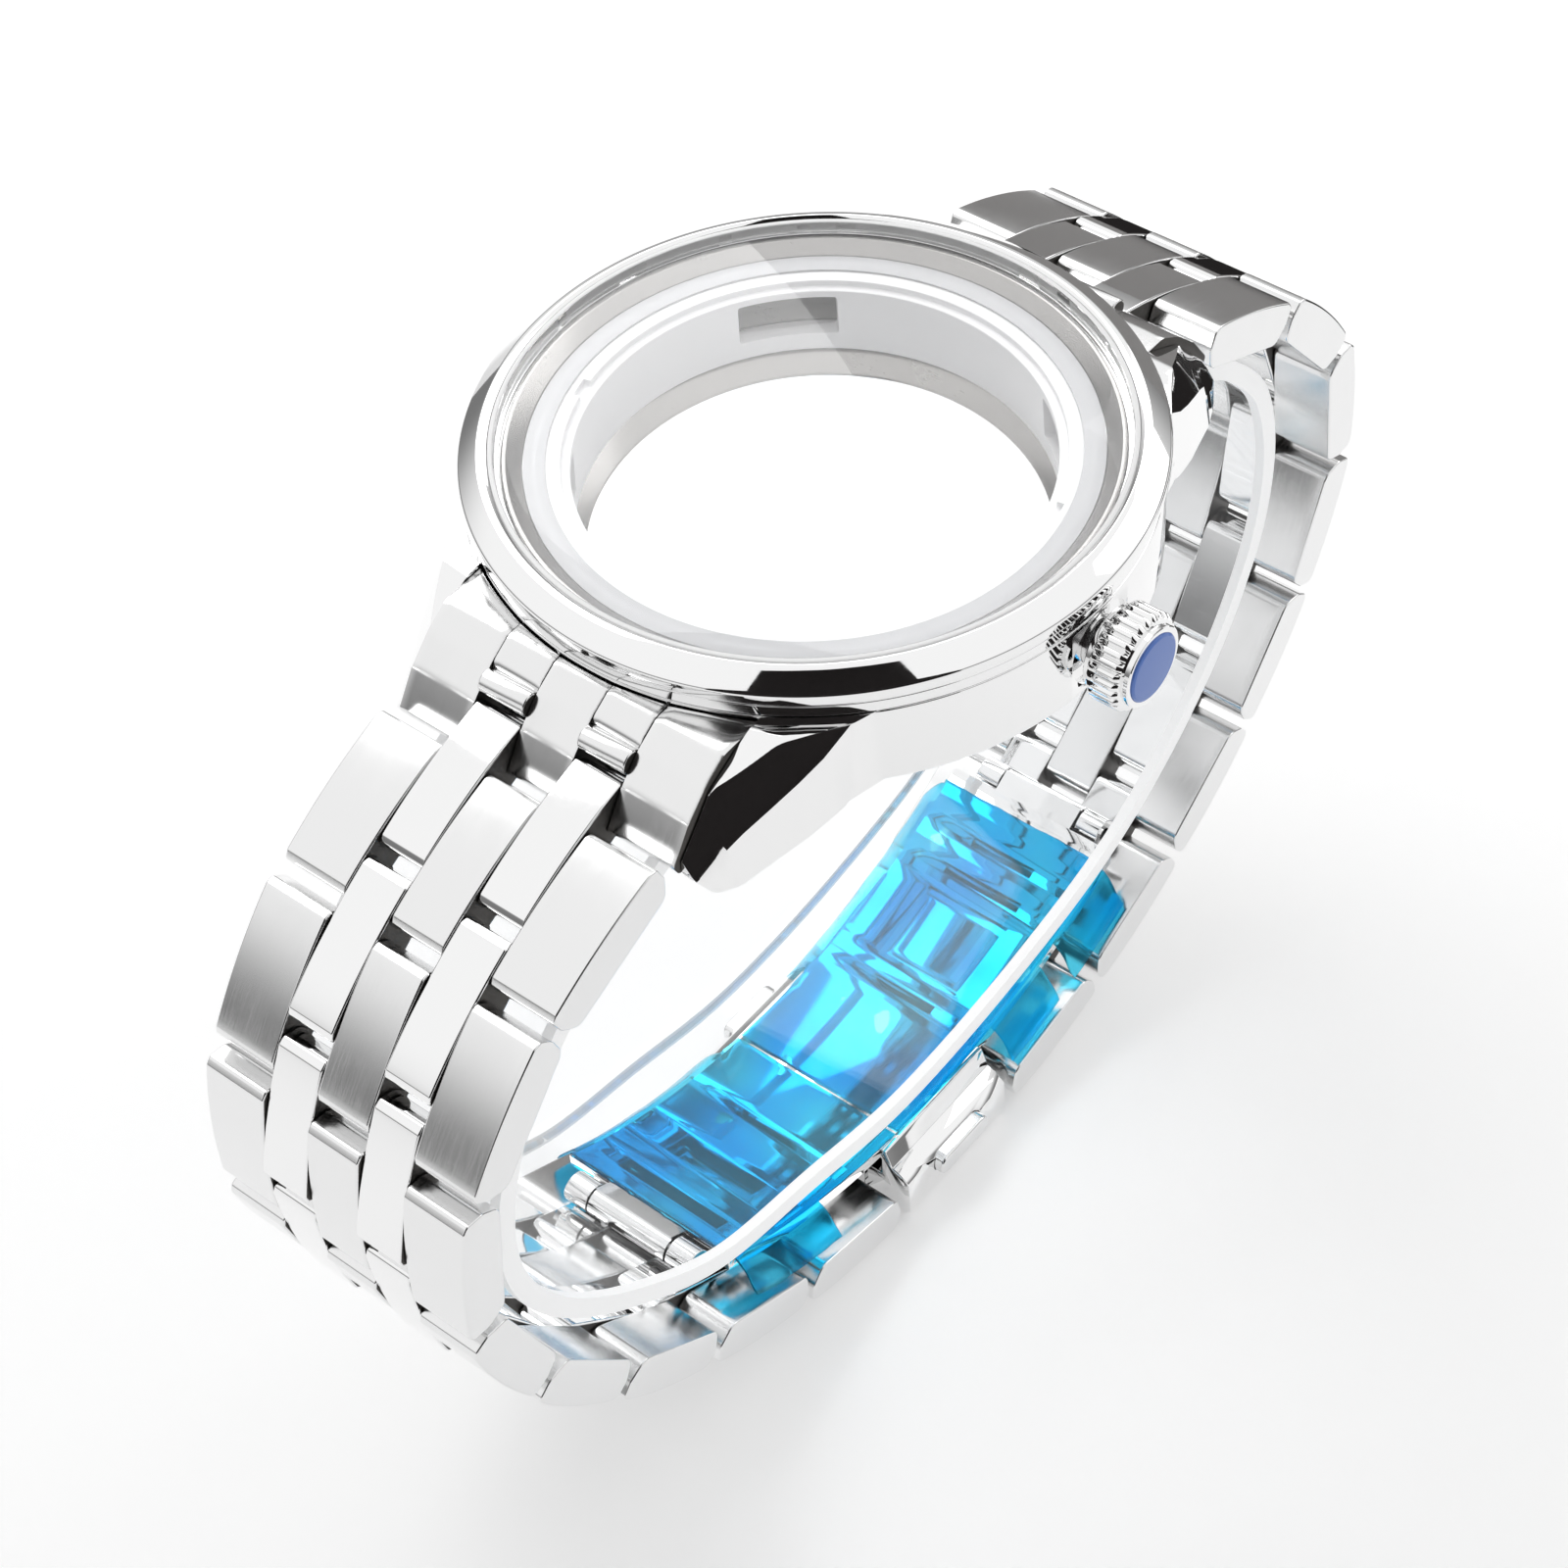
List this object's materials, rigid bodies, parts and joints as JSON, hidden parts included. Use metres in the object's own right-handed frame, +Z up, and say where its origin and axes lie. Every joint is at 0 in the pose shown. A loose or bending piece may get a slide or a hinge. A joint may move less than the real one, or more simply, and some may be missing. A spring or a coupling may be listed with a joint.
{
  "type": "watch case with bracelet",
  "caption": "Empty round watch case with domed crystal, see-through back, pull-out crown, brick-link steel bracelet and folding push-button clasp, ready for a movement and dial.",
  "frame": {"origin": "centre of the movement holder's bore at the dial seat's plane", "axes": "+Z up through the crystal, +X towards the crown, +Y towards twelve o'clock"},
  "size_m": [0.0438, 0.0904, 0.0654],
  "materials": {
    "steel_satin": "satin, brushed along the bracelet",
    "steel_polished": "polished steel",
    "steel_pin": "turned steel",
    "white_plastic": "matte",
    "clear_crystal": "clear, polished",
    "white_gasket": "satin plastic ring",
    "black_rubber": "matte",
    "blue_inlay": "gloss",
    "blue_film": "thin clear tinted film",
    "clear_strip": "clear flexible plastic"
  },
  "bodies": {
    "head": {"mid_case": "steel_satin", "bezel": "steel_polished", "crystal": "clear_crystal", "crystal_gasket": "white_gasket", "flange_ring": "steel_polished", "movement_ring": "white_plastic", "crown_tube": "steel_pin", "spring_bar_6": "steel_pin", "spring_bar_12": "steel_pin", "end_link_6": "steel_satin", "end_link_12": "steel_satin", "inner_strip": "clear_strip"},
    "crown_slide": {"crown_gasket": "black_rubber"},
    "crown": {"crown": "steel_polished", "crown_disc": "blue_inlay"},
    "back_slide": {"case_back_seal": "black_rubber"},
    "case_back": {"case_back_ring": "steel_polished", "back_window": "clear_crystal", "window_gasket": "white_gasket"},
    "link_6_inner_1": {"link_6_inner_1": "steel_polished"},
    "link_6_outer_1": {"link_6_outer_1": "steel_satin"},
    "link_6_inner_2": {"link_6_inner_2": "steel_polished"},
    "link_6_outer_2": {"link_6_outer_2": "steel_satin"},
    "link_6_inner_3": {"link_6_inner_3": "steel_polished"},
    "link_6_outer_3": {"link_6_outer_3": "steel_satin"},
    "link_6_inner_4": {"link_6_inner_4": "steel_polished"},
    "link_6_outer_4": {"link_6_outer_4": "steel_satin"},
    "link_6_inner_5": {"link_6_inner_5": "steel_polished"},
    "link_6_outer_5": {"link_6_outer_5": "steel_satin"},
    "link_6_inner_6": {"link_6_inner_6": "steel_polished"},
    "link_6_outer_6": {"link_6_outer_6": "steel_satin"},
    "link_6_inner_7": {"link_6_inner_7": "steel_polished"},
    "link_6_outer_7": {"link_6_outer_7": "steel_satin"},
    "link_6_inner_8": {"link_6_inner_8": "steel_polished"},
    "link_6_outer_8": {"link_6_outer_8": "steel_satin"},
    "clasp_arm_6": {"clasp_arm_6": "steel_polished"},
    "link_12_inner_1": {"link_12_inner_1": "steel_polished"},
    "link_12_outer_1": {"link_12_outer_1": "steel_satin"},
    "link_12_inner_2": {"link_12_inner_2": "steel_polished"},
    "link_12_outer_2": {"link_12_outer_2": "steel_satin"},
    "link_12_inner_3": {"link_12_inner_3": "steel_polished"},
    "link_12_outer_3": {"link_12_outer_3": "steel_satin"},
    "link_12_inner_4": {"link_12_inner_4": "steel_polished"},
    "clasp_plate": {"clasp_plate": "steel_polished", "clasp_pin_6": "steel_pin", "clasp_pin_12": "steel_pin", "film_6": "blue_film", "film_12": "blue_film"},
    "clasp_arm_12": {"clasp_arm_12": "steel_polished"},
    "link_12_outer_8": {"link_12_outer_8": "steel_satin"},
    "link_12_inner_8": {"link_12_inner_8": "steel_polished"},
    "link_12_outer_7": {"link_12_outer_7": "steel_satin"},
    "link_12_inner_7": {"link_12_inner_7": "steel_polished"},
    "link_12_outer_6": {"link_12_outer_6": "steel_satin"},
    "link_12_inner_6": {"link_12_inner_6": "steel_polished"},
    "link_12_outer_5": {"link_12_outer_5": "steel_satin"},
    "link_12_inner_5": {"link_12_inner_5": "steel_polished"},
    "link_12_outer_4": {"link_12_outer_4": "steel_satin"},
    "clasp_button_left": {"clasp_button_left": "steel_polished"},
    "clasp_button_right": {"clasp_button_right": "steel_polished"}
  },
  "joints": [
    {"name": "crown_pull", "type": "slide", "parent": "head", "child": "crown_slide", "axis": [1, 0, 0], "range_m": [0, 0.001]},
    {"name": "crown_turn", "type": "hinge", "parent": "crown_slide", "child": "crown", "pos_m": [0.0219, 0, -0.0031], "axis": [1, 0, 0], "continuous": true},
    {"name": "case_back_lift", "type": "slide", "parent": "head", "child": "back_slide", "axis": [0, 0, -1], "range_m": [0, 0.012]},
    {"name": "case_back_turn", "type": "hinge", "parent": "back_slide", "child": "case_back", "pos_m": [0, 0, -0.0068], "axis": [0, 0, -1], "continuous": true},
    {"name": "bracelet_6_hinge_1", "type": "hinge", "parent": "head", "child": "link_6_inner_1", "pos_m": [0, -0.024, -0.0047], "axis": [-1, 0, 0], "range_deg": [0, 20]},
    {"name": "bracelet_6_hinge_2", "type": "hinge", "parent": "link_6_inner_1", "child": "link_6_outer_1", "pos_m": [0, -0.02882, -0.00665], "axis": [-1, 0, 0], "range_deg": [0, 5]},
    {"name": "bracelet_6_hinge_3", "type": "hinge", "parent": "link_6_outer_1", "child": "link_6_inner_2", "pos_m": [0, -0.03353, -0.00885], "axis": [-1, 0, 0], "range_deg": [0, 13]},
    {"name": "bracelet_6_hinge_4", "type": "hinge", "parent": "link_6_inner_2", "child": "link_6_outer_2", "pos_m": [0, -0.03763, -0.01205], "axis": [-1, 0, 0], "range_deg": [0, 12]},
    {"name": "bracelet_6_hinge_5", "type": "hinge", "parent": "link_6_outer_2", "child": "link_6_inner_3", "pos_m": [0, -0.04097, -0.01603], "axis": [-1, 0, 0], "range_deg": [0, 19]},
    {"name": "bracelet_6_hinge_6", "type": "hinge", "parent": "link_6_inner_3", "child": "link_6_outer_3", "pos_m": [0, -0.04284, -0.02089], "axis": [-1, 0, 0], "range_deg": [0, 15]},
    {"name": "bracelet_6_hinge_7", "type": "hinge", "parent": "link_6_outer_3", "child": "link_6_inner_4", "pos_m": [0, -0.04338, -0.02606], "axis": [-1, 0, 0], "range_deg": [0, 16.27]},
    {"name": "bracelet_6_hinge_8", "type": "hinge", "parent": "link_6_inner_4", "child": "link_6_outer_4", "pos_m": [0, -0.04245, -0.03117], "axis": [-1, 0, 0], "range_deg": [0, 12]},
    {"name": "bracelet_6_hinge_9", "type": "hinge", "parent": "link_6_outer_4", "child": "link_6_inner_5", "pos_m": [0, -0.04048, -0.03599], "axis": [-1, 0, 0], "range_deg": [0, 8]},
    {"name": "bracelet_6_hinge_10", "type": "hinge", "parent": "link_6_inner_5", "child": "link_6_outer_5", "pos_m": [0, -0.03786, -0.04048], "axis": [-1, 0, 0], "range_deg": [0, 8]},
    {"name": "bracelet_6_hinge_11", "type": "hinge", "parent": "link_6_outer_5", "child": "link_6_inner_6", "pos_m": [0, -0.03464, -0.04456], "axis": [-1, 0, 0], "range_deg": [0, 7]},
    {"name": "bracelet_6_hinge_12", "type": "hinge", "parent": "link_6_inner_6", "child": "link_6_outer_6", "pos_m": [0, -0.03095, -0.04822], "axis": [-1, 0, 0], "range_deg": [0, 7]},
    {"name": "bracelet_6_hinge_13", "type": "hinge", "parent": "link_6_outer_6", "child": "link_6_inner_7", "pos_m": [0, -0.02684, -0.0514], "axis": [-1, 0, 0], "range_deg": [0, 6]},
    {"name": "bracelet_6_hinge_14", "type": "hinge", "parent": "link_6_inner_7", "child": "link_6_outer_7", "pos_m": [0, -0.02241, -0.05414], "axis": [-1, 0, 0], "range_deg": [0, 6]},
    {"name": "bracelet_6_hinge_15", "type": "hinge", "parent": "link_6_outer_7", "child": "link_6_inner_8", "pos_m": [0, -0.01773, -0.0564], "axis": [-1, 0, 0], "range_deg": [0, 6]},
    {"name": "bracelet_6_hinge_16", "type": "hinge", "parent": "link_6_inner_8", "child": "link_6_outer_8", "pos_m": [0, -0.01284, -0.05815], "axis": [-1, 0, 0], "range_deg": [0, 6.5]},
    {"name": "bracelet_6_hinge_17", "type": "hinge", "parent": "link_6_outer_8", "child": "clasp_arm_6", "pos_m": [0, -0.00777, -0.05934], "axis": [-1, 0, 0], "range_deg": [0, 7.5]},
    {"name": "bracelet_12_hinge_1", "type": "hinge", "parent": "head", "child": "link_12_inner_1", "pos_m": [0, 0.024, -0.0047], "axis": [1, 0, 0], "range_deg": [0, 20]},
    {"name": "bracelet_12_hinge_2", "type": "hinge", "parent": "link_12_inner_1", "child": "link_12_outer_1", "pos_m": [0, 0.02882, -0.00665], "axis": [1, 0, 0], "range_deg": [0, 5]},
    {"name": "bracelet_12_hinge_3", "type": "hinge", "parent": "link_12_outer_1", "child": "link_12_inner_2", "pos_m": [0, 0.03353, -0.00885], "axis": [1, 0, 0], "range_deg": [0, 13]},
    {"name": "bracelet_12_hinge_4", "type": "hinge", "parent": "link_12_inner_2", "child": "link_12_outer_2", "pos_m": [0, 0.03763, -0.01205], "axis": [1, 0, 0], "range_deg": [0, 12]},
    {"name": "bracelet_12_hinge_5", "type": "hinge", "parent": "link_12_outer_2", "child": "link_12_inner_3", "pos_m": [0, 0.04097, -0.01603], "axis": [1, 0, 0], "range_deg": [0, 19]},
    {"name": "bracelet_12_hinge_6", "type": "hinge", "parent": "link_12_inner_3", "child": "link_12_outer_3", "pos_m": [0, 0.04284, -0.02089], "axis": [1, 0, 0], "range_deg": [0, 15]},
    {"name": "bracelet_12_hinge_7", "type": "hinge", "parent": "link_12_outer_3", "child": "link_12_inner_4", "pos_m": [0, 0.04338, -0.02606], "axis": [1, 0, 0], "range_deg": [0, 16.27]},
    {"name": "clasp_open", "type": "hinge", "parent": "clasp_arm_6", "child": "clasp_plate", "pos_m": [0, -0.0226, -0.05034], "axis": [1, 0, 0], "range_deg": [0, 36], "deforming": ["inner_strip"]},
    {"name": "clasp_arm_12_fold", "type": "hinge", "parent": "clasp_plate", "child": "clasp_arm_12", "pos_m": [0, 0.0226, -0.05034], "axis": [1, 0, 0], "range_deg": [0, 36]},
    {"name": "bracelet_12_hinge_17", "type": "hinge", "parent": "clasp_arm_12", "child": "link_12_outer_8", "pos_m": [0, 0.00777, -0.05934], "axis": [-1, 0, 0], "range_deg": [0, 97.2]},
    {"name": "bracelet_12_hinge_16", "type": "hinge", "parent": "link_12_outer_8", "child": "link_12_inner_8", "pos_m": [0, 0.01284, -0.05815], "axis": [-1, 0, 0], "range_deg": [0, 6.5]},
    {"name": "bracelet_12_hinge_15", "type": "hinge", "parent": "link_12_inner_8", "child": "link_12_outer_7", "pos_m": [0, 0.01773, -0.0564], "axis": [-1, 0, 0], "range_deg": [0, 6]},
    {"name": "bracelet_12_hinge_14", "type": "hinge", "parent": "link_12_outer_7", "child": "link_12_inner_7", "pos_m": [0, 0.02241, -0.05414], "axis": [-1, 0, 0], "range_deg": [0, 6]},
    {"name": "bracelet_12_hinge_13", "type": "hinge", "parent": "link_12_inner_7", "child": "link_12_outer_6", "pos_m": [0, 0.02684, -0.0514], "axis": [-1, 0, 0], "range_deg": [0, 6]},
    {"name": "bracelet_12_hinge_12", "type": "hinge", "parent": "link_12_outer_6", "child": "link_12_inner_6", "pos_m": [0, 0.03095, -0.04822], "axis": [-1, 0, 0], "range_deg": [0, 7]},
    {"name": "bracelet_12_hinge_11", "type": "hinge", "parent": "link_12_inner_6", "child": "link_12_outer_5", "pos_m": [0, 0.03464, -0.04456], "axis": [-1, 0, 0], "range_deg": [0, 7]},
    {"name": "bracelet_12_hinge_10", "type": "hinge", "parent": "link_12_outer_5", "child": "link_12_inner_5", "pos_m": [0, 0.03786, -0.04048], "axis": [-1, 0, 0], "range_deg": [0, 8]},
    {"name": "bracelet_12_hinge_9", "type": "hinge", "parent": "link_12_inner_5", "child": "link_12_outer_4", "pos_m": [0, 0.04048, -0.03599], "axis": [-1, 0, 0], "range_deg": [0, 8]},
    {"name": "button_left_press", "type": "slide", "parent": "clasp_plate", "child": "clasp_button_left", "axis": [1, 0, 0], "range_m": [0, 0.0007], "stiffness_N_per_m": 600},
    {"name": "button_right_press", "type": "slide", "parent": "clasp_plate", "child": "clasp_button_right", "axis": [-1, 0, 0], "range_m": [0, 0.0007], "stiffness_N_per_m": 600}
  ],
  "couplings": [
    {"joint": "clasp_arm_12_fold", "follows": "clasp_open", "ratio": 1},
    {"joint": "bracelet_12_hinge_17", "follows": "clasp_open", "ratio": 2.7}
  ]
}
